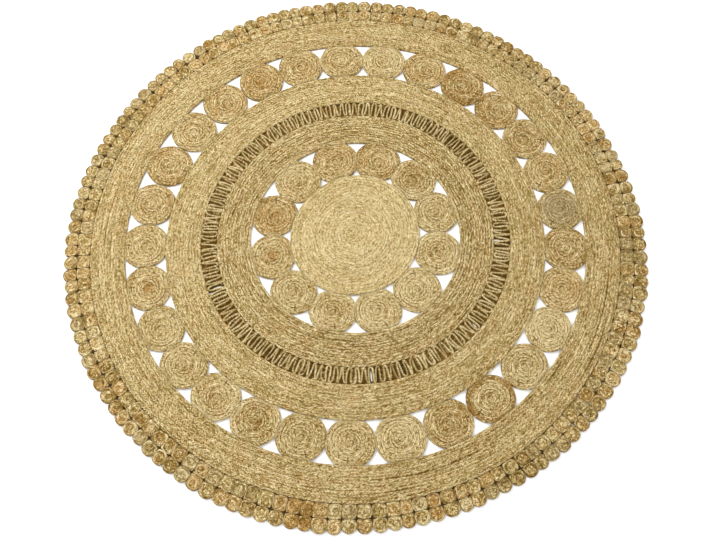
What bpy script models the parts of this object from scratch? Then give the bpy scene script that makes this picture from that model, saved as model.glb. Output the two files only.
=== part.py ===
"""Round jute rug: sewn bands of braid, coiled medallions, an openwork zigzag and a border of small coils.

Metres, +Z up. The rug lies flat on z = 0, with its middle over the origin. Angles are in degrees,
counter-clockwise from +X. The braid is raised as one rib for each two rows of it.
"""

import math

import bmesh
import bpy

# Radii at which one ring of the rug ends and the next begins, from the middle outwards
CENTRE_EDGE = 0.169
INNER_MEDALLION_EDGE = 0.274
INNER_BAND_EDGE = 0.3555
ZIGZAG_EDGE = 0.406
MIDDLE_BAND_EDGE = 0.493
OUTER_MEDALLION_EDGE = 0.599
OUTER_BAND_EDGE = 0.686
BORDER_SEAM = 0.7195
RUG_EDGE = 0.754

# The braid
THICKNESS = 0.008
GROOVE_HEIGHT = 0.0062
GAP = 0.0003

# Raised ribs across each ring, and straight sides round it
CENTRE_RIBS = 9
BAND_RIBS = 5
CENTRE_SIDES = 24
INNER_BAND_SIDES = 48
WIDE_BAND_SIDES = 60

# Medallions: (part of the radius, height) down the coil from its middle to its foot
MEDALLION_GROOVE = 0.0056
MEDALLION_SECTION = (
    (0.0, THICKNESS),
    (0.46, MEDALLION_GROOVE),
    (0.88, THICKNESS),
    (1.0, 0.0),
    (0.0, 0.0),
)
MEDALLION_SIDES = 16
# A medallion's own round size, in half widths of its ring. It is pressed flat against the rings and its neighbours,
# the more softly the lower the power, and its middle stays round.
MEDALLION_ROUND = 1.17
PRESS_POWER = 60
PRESS_EASE = 3.5
INNER_MEDALLIONS = 12
OUTER_MEDALLIONS = 29
INNER_SEAM_START = -0.8
OUTER_SEAM_START = 0.75
# Hand sewing shifts the seams a little round the ring: (lobes, shift in degrees, angle of one lobe)
INNER_SEAM_WAVES = (
    (1, 0.33, -86.0),
    (2, 1.06, 17.5),
)
OUTER_SEAM_WAVES = (
    (1, 1.05, -135.5),
    (2, 0.52, -16.0),
    (3, 0.39, -48.0),
)

# The zigzag, at twice the pitch of the real cord: (part of a period, reach from the middle of its ring)
ZIGZAG_PERIODS = 68
ZIGZAG_CORD = 0.0065
ZIGZAG_HEIGHT = 0.0065
ZIGZAG_TURNS = (
    (0.00, -1.00),
    (0.19, -0.72),
    (0.31, 0.72),
    (0.50, 1.00),
    (0.69, 0.72),
    (0.81, -0.72),
)

# Border coils: the rim of one coil from its neck on, as (part of its half pitch, part of its half width,
# height). Where four coils meet there is a deep dimple, and the outermost rim is scalloped.
BORDER_COILS = 135
SEWN_RIM = ((-1.0, 1.0, 0.0020), (0.0, 1.0, 0.0066))
SCALLOPED_RIM = ((-1.0, 0.4, 0.0050), (-0.42, 1.0, 0.0062), (0.42, 1.0, 0.0062))
NECK_HEIGHT = 0.0066

# The rug's edge isn't a true circle: (lobes, height of a lobe, angle of one lobe)
EDGE_WAVES = (
    (3, 0.0029, -22.0),
    (4, 0.0014, -18.0),
    (5, 0.0016, -29.0),
)

# Colours of the jute, linear RGB
STRAW = (0.57, 0.44, 0.23)
GOLDEN = (0.47, 0.33, 0.14)
PALE_GOLD = (0.50, 0.37, 0.17)
BROWN_GOLD = (0.40, 0.27, 0.11)
JUTE_ROUGHNESS = 0.9


def clear_scene():
    """Start from an empty scene."""
    for existing in list(bpy.data.objects):
        bpy.data.objects.remove(existing, do_unlink=True)


def new_collection(name):
    """A collection under the scene's own."""
    collection = bpy.data.collections.new(name)
    bpy.context.scene.collection.children.link(collection)
    return collection


def jute(name, colour):
    """Matt natural fibre in one colour."""
    material = bpy.data.materials.new(name)
    material.use_nodes = True
    shader = material.node_tree.nodes["Principled BSDF"]
    shader.inputs["Base Color"].default_value = (*colour, 1.0)
    shader.inputs["Roughness"].default_value = JUTE_ROUGHNESS
    shader.inputs["Metallic"].default_value = 0.0
    return material


def add_piece(name, data, colour, collection):
    """Put a mesh or curve into the scene as a named piece with its own material."""
    data.materials.append(jute(name, colour))
    piece = bpy.data.objects.new(name, data)
    collection.objects.link(piece)
    return piece


def turned_piece(name, section, sides, closed, colour, collection):
    """A section of (radius, height) points turned about +Z. A closed one runs round a ring."""
    mesh = bpy.data.meshes.new(name)
    points = [(radius, 0.0, height) for radius, height in section]
    edges = [(index, index + 1) for index in range(len(points) - 1)]
    if closed:
        edges.append((len(points) - 1, 0))
    mesh.from_pydata(points, edges, [])
    piece = add_piece(name, mesh, colour, collection)
    screw = piece.modifiers.new("Turned", "SCREW")
    screw.axis = "Z"
    screw.steps = sides
    screw.render_steps = sides
    screw.use_merge_vertices = True
    screw.merge_threshold = 0.0001
    screw.use_smooth_shade = False
    return piece


def ribbed_heights(count):
    """Heights across the ribs: a groove at both ends, and ribs between grooves."""
    return [THICKNESS if index % 2 else GROOVE_HEIGHT for index in range(2 * count + 1)]


def centre_coil(collection):
    """The disc in the middle, its turns raised round a small boss."""
    edge = CENTRE_EDGE - GAP / 2
    heights = ribbed_heights(CENTRE_RIBS)[1:] + [THICKNESS, GROOVE_HEIGHT]
    step = edge / (len(heights) - 1)
    section = [(index * step, height) for index, height in enumerate(heights)]
    section += [(edge, 0.0), (0.0, 0.0)]
    turned_piece("centre_coil", section, CENTRE_SIDES, False, STRAW, collection)


def band(name, inner_edge, outer_edge, sides, colour, collection):
    """A ring of braid rows. Its straight sides stay between the two edges."""
    inner = (inner_edge + GAP / 2) / math.cos(math.pi / sides)
    outer = outer_edge - GAP / 2
    step = (outer - inner) / (2 * BAND_RIBS)
    heights = ribbed_heights(BAND_RIBS)
    section = [(inner + index * step, height) for index, height in enumerate(heights)]
    section += [(outer, 0.0), (inner, 0.0)]
    turned_piece(name, section, sides, True, colour, collection)


def spot(radius, angle, height):
    """A point by its radius, its angle in radians and its height."""
    return (radius * math.cos(angle), radius * math.sin(angle), height)


def wave(table, angle):
    """Sum of a table's waves, as (lobes, height, angle of one lobe), at an angle in degrees."""
    return sum(height * math.cos(math.radians(lobes * (angle - lobe))) for lobes, height, lobe in table)


def seam_angles(count, start, waves):
    """Angles of the seams between the medallions of a ring, in radians, with the first again a turn on."""
    even = [360.0 * index / count for index in range(count + 1)]
    return [math.radians(start + angle + wave(waves, angle)) for angle in even]


def pressed_radius(angle, centre, half_angle, inner, outer, round_size):
    """Radius of a medallion in a direction: the soft least of its round size and the ways to what it meets.

    The medallion lies at the centre distance from the rug's middle. It meets the outer and the inner ring, and the
    straight seams at half_angle to both sides. The angle is counted from the line away from the rug's middle.
    """
    along, aside = centre * math.cos(angle), centre * math.sin(angle)
    limits = [round_size, math.sqrt(outer**2 - aside**2) - along]
    if along < 0 and inner > abs(aside):
        limits.append(-along - math.sqrt(inner**2 - aside**2))
    for side in (1, -1):
        lean = math.sin(side * angle - half_angle)
        if lean > 0:
            limits.append(centre * math.sin(half_angle) / lean)
    return sum(limit**-PRESS_POWER for limit in limits) ** (-1 / PRESS_POWER) - GAP / 2


def medallion_ring(prefix, inner_edge, outer_edge, seams, collection):
    """Flat coils that are pressed against each other at the seams, and against the rings on both sides."""
    centre = (inner_edge + outer_edge) / 2
    round_size = (outer_edge - inner_edge) / 2 * MEDALLION_ROUND
    section = [(part * round_size, height) for part, height in MEDALLION_SECTION]
    for index, (start, end) in enumerate(zip(seams, seams[1:]), start=1):
        name = f"{prefix}_{index:02d}"
        turned = turned_piece(name, section, MEDALLION_SIDES, False, GOLDEN, collection)
        evaluated = turned.evaluated_get(bpy.context.evaluated_depsgraph_get())
        coil = bpy.data.meshes.new_from_object(evaluated)
        limits = (centre, (end - start) / 2, inner_edge + GAP / 2, outer_edge - GAP / 2, round_size)
        for vertex in coil.vertices:
            share = math.hypot(vertex.co.x, vertex.co.y) / round_size
            pressed = pressed_radius(math.atan2(vertex.co.y, vertex.co.x), *limits) / round_size
            factor = 1 + (pressed - 1) * share**PRESS_EASE
            vertex.co.x *= factor
            vertex.co.y *= factor
        turned.modifiers.clear()
        turned.data = coil
        middle = (start + end) / 2
        turned.location = spot(centre, middle, 0.0)
        turned.rotation_euler = (0.0, 0.0, middle)


def closed_curve(name, points, dimensions):
    """A closed POLY curve through the points."""
    curve = bpy.data.curves.new(name, "CURVE")
    curve.dimensions = dimensions
    spline = curve.splines.new("POLY")
    spline.points.add(len(points) - 1)
    for spline_point, point in zip(spline.points, points):
        spline_point.co = (*point, 1.0)
    spline.use_cyclic_u = True
    return curve


def zigzag_cord(collection, guides):
    """One cord laid back and forth across the open ring, ridged on top and flat underneath."""
    half = ZIGZAG_CORD / 2
    corners = [(half, 0.0, 0.0), (-half, 0.0, 0.0), (0.0, ZIGZAG_HEIGHT, 0.0)]
    section = closed_curve("zigzag_section", corners, "2D")
    section_guide = bpy.data.objects.new("zigzag_section", section)
    section_guide.hide_render = True
    section_guide.display_type = "WIRE"
    guides.objects.link(section_guide)

    middle = (INNER_BAND_EDGE + ZIGZAG_EDGE) / 2
    reach = (ZIGZAG_EDGE - INNER_BAND_EDGE - GAP) / 2 - half
    points = []
    for period in range(ZIGZAG_PERIODS):
        for part, side in ZIGZAG_TURNS:
            angle = 2 * math.pi * (period + part) / ZIGZAG_PERIODS
            points.append(spot(middle + side * reach, angle, 0.0))
    cord = closed_curve("zigzag_cord", points, "3D")
    cord.twist_mode = "Z_UP"
    cord.bevel_mode = "OBJECT"
    cord.bevel_object = section_guide
    add_piece("zigzag_cord", cord, BROWN_GOLD, collection)


def rug_edge(angle):
    """Radius of the tips of the border at an angle in radians."""
    return RUG_EDGE + wave(EDGE_WAVES, math.degrees(angle))


def border_seam(angle):
    """Radius of the seam between the two border rows, which follows half of the edge's waves."""
    return BORDER_SEAM + (rug_edge(angle) - RUG_EDGE) / 2


def outer_band_edge(angle):
    """Radius of the outer band's edge, a true circle."""
    return OUTER_BAND_EDGE


def rim_line(mesh, rim, side, inner_edge, outer_edge):
    """Shoulder and foot vertices round one side of every coil of a row.

    side is 1 for the outer rim, and -1 for the inner one.
    """
    line = []
    for coil in range(BORDER_COILS):
        for part, width, height in rim:
            angle = (2 * coil + 1 + part) * math.pi / BORDER_COILS
            inner = inner_edge(angle) + GAP / 2
            outer = outer_edge(angle) - GAP / 2
            radius = (inner + outer + side * width * (outer - inner)) / 2
            shoulder = mesh.verts.new(spot(radius, angle, height))
            foot = mesh.verts.new(spot(radius, angle, 0.0))
            line.append((shoulder, foot))
    return line


def row_middle(mesh, start, height, inner_edge, outer_edge):
    """One vertex for each coil, midway across a row. start is 0 for the necks and 1 for the crowns."""
    angles = [(2 * coil + start) * math.pi / BORDER_COILS for coil in range(BORDER_COILS)]
    return [
        mesh.verts.new(spot((inner_edge(angle) + outer_edge(angle)) / 2, angle, height)) for angle in angles
    ]


def coil_part(line, coil):
    """The stretch of a rim line that belongs to one coil, up to the neck to the next."""
    count = len(line) // BORDER_COILS
    start = coil * count
    return line[start : start + count] + [line[(start + count) % len(line)]]


def border_row(name, inner_edge, outer_edge, inner_rim, outer_rim, collection):
    """A sewn row of small coils, one solid: each coil is a low dome, joined to the coils beside it."""
    mesh = bmesh.new()
    outer_line = rim_line(mesh, outer_rim, 1, inner_edge, outer_edge)
    inner_line = rim_line(mesh, inner_rim, -1, inner_edge, outer_edge)
    necks = row_middle(mesh, 0, NECK_HEIGHT, inner_edge, outer_edge)
    crowns = row_middle(mesh, 1, THICKNESS, inner_edge, outer_edge)
    for coil, crown in enumerate(crowns):
        outer_part = coil_part(outer_line, coil)
        inner_part = coil_part(inner_line, coil)[::-1]
        shoulders = [shoulder for shoulder, _ in outer_part]
        shoulders.append(necks[(coil + 1) % BORDER_COILS])
        shoulders += [shoulder for shoulder, _ in inner_part]
        shoulders.append(necks[coil])
        for shoulder, following in zip(shoulders, shoulders[1:] + shoulders[:1]):
            mesh.faces.new((crown, shoulder, following))
        mesh.faces.new([foot for _, foot in reversed(outer_part + inner_part)])
        for side in (outer_part, inner_part):
            for (shoulder, foot), (next_shoulder, next_foot) in zip(side, side[1:]):
                mesh.faces.new((foot, next_foot, next_shoulder, shoulder))
    data = bpy.data.meshes.new(name)
    mesh.to_mesh(data)
    mesh.free()
    add_piece(name, data, GOLDEN, collection)


def build_rug():
    """All the pieces, from the middle outwards."""
    clear_scene()
    rug = new_collection("round_jute_rug")
    guides = new_collection("guides")
    centre_coil(rug)
    inner_seams = seam_angles(INNER_MEDALLIONS, INNER_SEAM_START, INNER_SEAM_WAVES)
    medallion_ring("inner_medallion", CENTRE_EDGE, INNER_MEDALLION_EDGE, inner_seams, rug)
    band("inner_band", INNER_MEDALLION_EDGE, INNER_BAND_EDGE, INNER_BAND_SIDES, GOLDEN, rug)
    zigzag_cord(rug, guides)
    band("middle_band", ZIGZAG_EDGE, MIDDLE_BAND_EDGE, WIDE_BAND_SIDES, PALE_GOLD, rug)
    outer_seams = seam_angles(OUTER_MEDALLIONS, OUTER_SEAM_START, OUTER_SEAM_WAVES)
    medallion_ring("outer_medallion", MIDDLE_BAND_EDGE, OUTER_MEDALLION_EDGE, outer_seams, rug)
    band("outer_band", OUTER_MEDALLION_EDGE, OUTER_BAND_EDGE, WIDE_BAND_SIDES, PALE_GOLD, rug)
    border_row("border_row_inner", outer_band_edge, border_seam, SEWN_RIM, SEWN_RIM, rug)
    border_row("border_row_outer", border_seam, rug_edge, SEWN_RIM, SCALLOPED_RIM, rug)


build_rug()
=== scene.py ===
"""Round jute rug, braided, coiled and sewn flat, in a plain pale studio.

Run as a script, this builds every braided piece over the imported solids, then the floor, the light and
the camera. Lengths are in metres and angles in radians unless a name says degrees. +Z is up and the rug
lies centred on the origin.
"""

import math

import bpy
import numpy as np
from bpy.props import FloatProperty, FloatVectorProperty, IntProperty, PointerProperty
from mathutils import Euler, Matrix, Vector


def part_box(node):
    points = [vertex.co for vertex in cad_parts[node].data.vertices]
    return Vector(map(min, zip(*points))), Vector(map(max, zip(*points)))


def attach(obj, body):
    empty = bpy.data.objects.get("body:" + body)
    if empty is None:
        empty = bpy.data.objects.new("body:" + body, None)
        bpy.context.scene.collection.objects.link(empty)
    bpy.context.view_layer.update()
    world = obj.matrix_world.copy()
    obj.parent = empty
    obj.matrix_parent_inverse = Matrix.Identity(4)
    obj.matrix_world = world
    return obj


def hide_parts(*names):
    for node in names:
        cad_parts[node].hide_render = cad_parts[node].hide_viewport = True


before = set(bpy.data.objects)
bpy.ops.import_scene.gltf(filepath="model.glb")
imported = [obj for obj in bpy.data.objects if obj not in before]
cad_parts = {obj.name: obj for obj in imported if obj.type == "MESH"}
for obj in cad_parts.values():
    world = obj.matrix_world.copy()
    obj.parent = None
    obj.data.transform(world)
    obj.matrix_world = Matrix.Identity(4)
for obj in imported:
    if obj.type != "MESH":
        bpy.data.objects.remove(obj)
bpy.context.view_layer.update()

bl_info = {
    "name": "Round Jute Rug",
    "version": (1, 0, 0),
    "blender": (4, 5, 0),
    "location": "3D View > Sidebar > Jute Rug",
    "description": "Builds a round rug of braided jute coils, bands and openwork",
    "category": "Add Mesh",
}

# Sizes of the rug, from the middle outwards, as the solids have them
CENTRE_EDGE = 0.169
INNER_MEDALLION_EDGE = 0.274
INNER_BAND_EDGE = 0.3555
ZIGZAG_EDGE = 0.406
MIDDLE_BAND_EDGE = 0.493
OUTER_MEDALLION_EDGE = 0.599
OUTER_BAND_EDGE = 0.686
BORDER_SEAM = 0.7195
RUG_EDGE = 0.754
GAP = 0.0001
FLOOR_HEIGHT = -0.0005
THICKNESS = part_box("centre_coil")[1][2]

ZIGZAG_LOOPS = 135
BORDER_COILS = 135
# Angles in degrees of the first seams between medallions, and the waves that pull the seams and the edge
# about. A wave has a number of lobes round the rug, a height, and the angle in degrees of one of its
# lobes.
INNER_SEAM_START = -0.8
OUTER_SEAM_START = 0.75
INNER_SEAM_WAVES = ((1, 0.33, -86.0), (2, 1.06, 17.5))
OUTER_SEAM_WAVES = ((1, 1.05, -135.5), (2, 0.52, -16.0), (3, 0.39, -48.0))
EDGE_WAVES = ((3, 0.0029, -22.0), (4, 0.0014, -18.0), (5, 0.0016, -29.0))

# Hand sewing has pulled the rings off true. At a radius, the rug is moved towards the first angle in
# degrees, grown, and made oval and three-cornered with a lobe at the second and the third: (radius,
# moved, grown, oval, cornered).
PULL_ANGLES = (-57.0, 56.0, -35.0)
PULL = (
    (0.0, 0.0030, 0.0, 0.0, 0.0),
    (0.169, 0.0030, 0.0015, 0.0045, 0.0015),
    (0.274, 0.0040, -0.0020, 0.0005, 0.0025),
    (0.3555, 0.0048, 0.0050, 0.0015, 0.0022),
    (0.406, 0.0048, -0.0035, 0.0015, 0.0026),
    (0.493, 0.0040, 0.0, 0.0015, 0.0038),
    (0.599, 0.0022, -0.0020, 0.0, 0.0010),
    (0.686, 0.0010, 0.0, 0.0, 0.0012),
    (0.720, 0.0, 0.0, 0.0, 0.0),
)

BAND_ROWS = 12
# Across one row of braid, from groove to groove, and along it, the steps of each strand's lobe.
CROSS = (-1.0, -0.62, 0.0, 0.62, 1.0)
SMALL_CROSS = (-1.0, 0.0, 1.0)
LOBE_STEPS = 3
# The underside has one point for so many of the top.
UNDER_SHARE = 4
# Where a free edge lies between the middle, 0.5, and the groove, 1, of its row on the braid's map. Short of
# the groove, a free edge takes little of the groove's painted shade.
EDGE_PLACE = 0.86
SMALL_EDGE_PLACE = 0.97

# Coils are pressed flat against each other: their round size in half widths of their ring. Medallions are
# looser towards an angle in degrees, lie a little outside the middle of their ring, and differ a little
# in size.
INNER_ROUND = 1.185
OUTER_ROUND = 1.17
BORDER_ROUND = 1.33
LOOSE_ANGLE = -40.0
LOOSE_SHARE = 0.015
MEDALLION_SHIFT = 0.0006
MEDALLION_SPREAD = 0.012
# The higher this power, the sharper the corners of a pressed coil.
OUTLINE_POWER = 60

# Small feet are sharper by this. A coil is fully pressed where its outline is this share inside its round
# size, and its foot then goes back out by most of its inset. Turns follow the outline by a power of their
# share of the radius.
FLARE_SHARPER = 4
PRESSED_FULLY = 0.03
PRESSED_INSET = 0.85
OUTLINE_PULL = 3.5
# Turns at which strands begin to push, and over which the last groove falls to the rim. The sway lags by an
# angle from turn to turn. Longest and shortest drift along a coil's braid, in strands.
PUSH_START = 0.4
RIM_FALL = 0.3
SWAY_LAG = 2.2
COIL_DRIFT = (60.0, 7.0)
# Share of the radius at which a coil's rim has its own tone, and over which the tone blends.
RIM_START = 0.72
RIM_BLEND = 0.12

# Heights of a free rim and of a small coil's waist under it, and how far a foot lies in from the rim.
RIM_HEIGHT = 0.0042
WAIST_HEIGHT = 0.0034
FOOT_INSET = 0.0009
# Under the small coils of the border the feet spread until they touch, by this share of their size, but
# not at the angles in degrees where a gap has stayed open. Feet and bends reach under the next ring. The
# spread feet are dark, and they put painted shade in the gaps between coils and rings where the floor would
# show in shade. Some seams between coils have come apart.
FOOT_FLARE = 0.45
FOOT_OVERLAP = 0.0015
BEND_OVERLAP = 0.0012
OPEN_GAPS = (294.5, 315.0, 319.8)
OPEN_HALF_SPAN = 0.9
LOOSE_SEAMS = (94.4, 115.7, 184.8)
# How far strands push sideways, turns sway, rows wander, and backs and grooves go up and down.
STRAND_PUSH = 0.00022
TURN_SWAY = 0.0006
ROW_WANDER = 0.0008
BACK_DRIFT = 0.0003
GROOVE_DRIFT = 0.0002
# How deep a groove is where two rows have come apart.
PARTED_DEPTH = 0.0030
# Painted shade: how much darker the side walls and feet are than the braid, as shade under the rims and in
# the gaps, and how much warmer the border's feet are, so that this painted shade reads dark brown.
PAINTED_FOOT_SHADE = 0.35
SMALL_PAINTED_FOOT_SHADE = 0.18
SMALL_PAINTED_FOOT_HUE = 0.5

# The zigzag cord's section from its bottom up one side and down the other: place aside, height, and how much
# darker it is painted, as painted shade on its lower sides and its wide foot.
ZIGZAG_SECTION = (
    (0.0, 0.0, 0.3), (0.0092, 0.0003, 0.42), (0.0040, 0.0010, 0.64), (0.0025, 0.0046, 0.56),
    (0.0018, 0.0072, 0.02), (0.0, 0.0082, 0.0), (-0.0018, 0.0072, 0.02), (-0.0025, 0.0046, 0.56),
    (-0.0040, 0.0010, 0.64), (-0.0092, 0.0003, 0.42),
)
# How much the cord's line is steeper between its bends, ends short of the bands, and is opened and uneven
# in loops. How much wider a foot is in a bend, and narrower where the cord is open, and how much of a
# bend's radius it fills. The wide, dark foot fills the openings between runs with painted shade.
ZIGZAG_STEEPER = 0.25
ZIGZAG_INSET = 0.0008
ZIGZAG_OPENING = 0.045
ZIGZAG_UNEVEN = 0.13
BEND_FOOT = 0.8
OPENED_FOOT = 0.5
BEND_ROOM = 0.9
ZIGZAG_TONE = 0.66
# Angle in degrees of the border's darkest coils, how far they reach to both sides, and their tone and hue.
STAINED_ANGLE = 258.0
STAINED_HALF_SPAN = 2.8
STAINED_LOOK = (0.32, 0.6)
# The border's coils differ: their seams by a share of a step and a length, their sizes by a factor, and
# their heights. Their tone and hue have a mean, a spread and limits, and cores are darker by a spread.
SEAM_SPREAD = 0.1
SEAM_SHIFT = 0.0012
LOOSE_HALF_SPAN = 2.0
LOOSE_NARROWER = 0.93
BORDER_SIZES = (0.93, 1.05)
BORDER_HEIGHTS = (-0.0008, 0.0006)
BORDER_TONE = (0.50, 0.07)
BORDER_TONE_LIMITS = (0.34, 0.64)
BORDER_HUE = (0.06, 0.24)
BORDER_HUE_LIMITS = (-0.35, 0.6)
BORDER_CORE = 0.3

# Steps of each turn of a coil, from the middle outwards.
CENTRE_COLUMNS = (16, 32, 64, 64, 128, 128, 128, 256, 256, 256, 256) + (512,) * 11
MEDALLION_COLUMNS = (20, 40, 80, 80, 160, 160, 160, 160)
SMALL_COLUMNS = (8, 16, 16)
# Coils of one mesh lie so many rows apart on the braid's map.
COIL_ROWS_APART = 40.0

# Tones. 0 is dark brown, 0.5 golden and 1 pale straw. Hue turns from grey, -1, to orange, 1.
# Painted light: the bands are painted paler towards an angle, on the side that the lamp is on.
PAINTED_LIGHT_SIDE = 0.03
PAINTED_LIGHT_ANGLE = math.radians(165.0)

# Each kind of coil has the tones and the hues of its body, rim and core, and how strongly its turns
# differ.
PARTS = ("body", "rim", "core")
COIL_KINDS = {
    "centre": ((0.73, 0.70, 0.70), (-0.06, -0.02, 0.0), 0.03),
    "bleached": ((0.79, 0.75, 0.78), (0.0, 0.0, 0.0), 0.03),
    "pale": ((0.72, 0.70, 0.70), (0.0, 0.0, 0.05), 0.03),
    "straw": ((0.66, 0.64, 0.63), (0.0, 0.05, 0.1), 0.05),
    "warm": ((0.64, 0.65, 0.64), (0.35, 0.25, 0.35), 0.05),
    "dull": ((0.61, 0.58, 0.60), (0.0, 0.0, 0.0), 0.06),
    "golden": ((0.59, 0.59, 0.58), (0.3, 0.2, 0.3), 0.08),
    "rimmed": ((0.60, 0.48, 0.65), (0.25, 0.3, 0.15), 0.08),
    "pale core": ((0.59, 0.63, 0.77), (0.15, 0.1, 0.1), 0.06),
    "faded core": ((0.55, 0.49, 0.76), (0.2, 0.25, 0.05), 0.10),
    "pale rim": ((0.65, 0.75, 0.57), (0.1, 0.0, 0.2), 0.07),
    "dotted": ((0.63, 0.62, 0.36), (0.1, 0.1, 0.8), 0.06),
    "amber": ((0.52, 0.51, 0.40), (0.45, 0.25, 0.65), 0.08),
    "brown": ((0.53, 0.56, 0.46), (0.2, 0.15, 0.2), 0.10),
    "brown rim": ((0.63, 0.30, 0.61), (0.05, 0.35, 0.0), 0.10),
    "browned": ((0.45, 0.30, 0.57), (0.3, 0.4, 0.15), 0.12),
    "brown core": ((0.53, 0.71, 0.36), (0.2, 0.0, 0.3), 0.10),
    "swirled": ((0.52, 0.47, 0.55), (0.3, 0.3, 0.2), 0.16),
    "grey": ((0.44, 0.58, 0.45), (-0.6, -0.1, -0.6), 0.06),
}
INNER_KINDS = (
    "straw", "brown core", "rimmed", "golden", "straw", "amber",
    "dotted", "straw", "pale rim", "pale", "pale", "pale rim",
)
OUTER_KINDS = (
    "grey", "golden", "brown", "swirled", "browned", "golden", "pale", "pale core", "golden",
    "amber", "golden", "pale core", "rimmed", "pale core", "straw", "dotted", "straw", "straw",
    "pale rim", "brown core", "dull", "straw", "pale", "brown", "brown rim", "straw", "bleached",
    "warm", "faded core",
)

# Places where two rows of a band have come apart: groove, middle and half span in degrees, amount.
INNER_PARTED = ((3, 262.0, 10.0, 0.8), (4, 243.0, 8.0, 0.6), (7, 300.0, 9.0, 0.7), (8, 165.0, 12.0, 0.5))
MIDDLE_PARTED = ((2, 215.0, 10.0, 0.6), (6, 60.0, 8.0, 0.5), (8, 285.0, 10.0, 0.5))
OUTER_PARTED = (
    (5, 285.0, 14.0, 0.9), (9, 276.0, 7.0, 0.6), (8, 340.0, 11.0, 1.0), (10, 330.0, 7.0, 0.9),
    (3, 300.0, 8.0, 0.5), (8, 262.0, 8.0, 0.5), (9, 52.0, 10.0, 0.6), (2, 100.0, 7.0, 0.6),
    (7, 175.0, 9.0, 0.4),
)


def metres(name, description, default, low=0.0, **limits):
    """A setting in metres."""
    return FloatProperty(
        name=name, description=description, default=default, min=low, subtype="DISTANCE", unit="LENGTH",
        **limits)


def strength(name, description, default):
    """A setting without a unit, from 0 upwards."""
    return FloatProperty(name=name, description=description, default=default, min=0.0)


def tilt(name, description, degrees):
    """A setting that is an angle, with its default in degrees."""
    return FloatProperty(
        name=name, description=description, default=math.radians(degrees), subtype="ANGLE", unit="ROTATION")


def position(name, description, default):
    """A setting that is a place."""
    return FloatVectorProperty(
        name=name, description=description, default=default, size=3, subtype="XYZ", unit="LENGTH")


def tint(name, description, *default):
    """A setting that is a colour."""
    return FloatVectorProperty(
        name=name, description=description, default=default, size=3, min=0.0, max=1.0, subtype="COLOR")


class RugBraidSettings(bpy.types.PropertyGroup):
    """Sizes and colours of the braid."""

    lobe_length: metres("Lobe Length", "Length in which a strand crosses over once", 0.0064, 0.003)
    slant: metres("Slant", "How far a strand runs along the braid from the middle to the side", 0.0055)
    lobe_depth: metres("Lobe Depth", "Depth of the dip between two crossings of a strand", 0.0009, max=0.003)
    groove_height: metres("Groove Height", "Height of the groove between two rows", 0.0062, 0.001, max=0.008)
    seed: IntProperty(name="Seed", description="Start of the random unevenness", default=7, min=0)
    dark_jute: tint("Dark Jute", "Colour of the darkest strands", 0.100, 0.052, 0.005)
    brown_jute: tint("Brown Jute", "Colour of the brown strands", 0.223, 0.140, 0.036)
    golden_jute: tint("Golden Jute", "Colour of the golden strands", 0.404, 0.290, 0.105)
    straw_jute: tint("Straw Jute", "Colour of the straw strands", 0.571, 0.456, 0.229)
    pale_jute: tint("Pale Jute", "Colour of the palest strands", 0.776, 0.658, 0.392)
    orange_jute: tint("Orange Jute", "Stain of the warmer braid", 0.49, 0.23, 0.053)
    green_jute: tint("Green Jute", "Stain of the cooler braid", 0.40, 0.34, 0.085)
    grey_jute: tint("Grey Jute", "Stain of the weathered braid", 0.33, 0.27, 0.155)
    shadow_jute: tint("Shadow Jute", "Colour deep between the strands", 0.085, 0.042, 0.003)


class RugStageSettings(bpy.types.PropertyGroup):
    """Floor, light and camera."""

    floor_size: metres("Floor Size", "Side of the square floor", 12.0, 2.0)
    floor_colour: tint("Floor", "Colour of the floor", 0.95, 0.95, 0.95)
    sky_strength: strength("Soft Light", "Strength of the light from all round", 1.24)
    lamp_power: strength("Lamp", "Power of the large soft lamp in watts", 62.0)
    lamp_side: metres("Lamp Side", "Side of the square lamp", 1.6, 0.1)
    lamp_place: position("Lamp Place", "Place of the lamp", (-1.5, 1.3, 2.4))
    camera_lens: FloatProperty(
        name="Lens", description="Focal length in millimetres", default=41.44, min=10.0, max=200.0)
    camera_place: position("Camera", "Place of the camera", (0.0068, -0.9177, 1.9517))
    camera_pitch: tilt("Pitch", "How far the camera looks down from level", 67.34)
    camera_roll: tilt("Roll", "How far the camera is rolled about its line of sight", -1.27)


# Unevenness


def wave(table, angle_degrees):
    """Sum of cosines: each has its number of lobes round the rug, its height and the angle of one lobe."""
    return sum(
        height * math.cos(math.radians(lobes * (angle_degrees - lobe))) for lobes, height, lobe in table)


def ripple(position, rng, rows, longest, shortest, count=7):
    """Smooth uneven numbers of about -1 to 1 along each row.

    For each row it adds sines of the position. Their lengths run from the longest to the shortest, and
    their phases and lengths are random. position is (rows, points), in the same unit as the lengths.
    """
    lengths = np.geomspace(longest, shortest, count) * rng.uniform(0.8, 1.25, (rows, count))
    phases = rng.uniform(0.0, 2 * np.pi, (rows, count))
    waves = np.sin(2 * np.pi * position[:, None, :] / lengths[:, :, None] + phases[:, :, None])
    return waves.sum(axis=1) / math.sqrt(count)


def ring_ripple(angle, rng, rows, most_waves, count=8):
    """Smooth uneven numbers of about -1 to 1 round each row, which meet themselves after a whole turn.

    For each row it adds sines with a random whole number of waves, from 1 to most_waves, and random
    phases.
    """
    waves = rng.integers(1, most_waves + 1, (rows, count))
    phases = rng.uniform(0.0, 2 * np.pi, (rows, count))
    sines = np.sin(waves[:, :, None] * angle[None, None, :] + phases[:, :, None])
    return sines.sum(axis=1) / math.sqrt(count)


def away(angle, middle):
    """How far angles in degrees are from a middle, from -180 to 180."""
    return (angle - middle + 180) % 360 - 180


def spots(radius, angle, height):
    """Points at a radius, an angle and a height."""
    x, y = radius * np.cos(angle), radius * np.sin(angle)
    return np.stack((x, y, height * np.ones_like(x)), axis=-1)


# Meshes from lines of points


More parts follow.
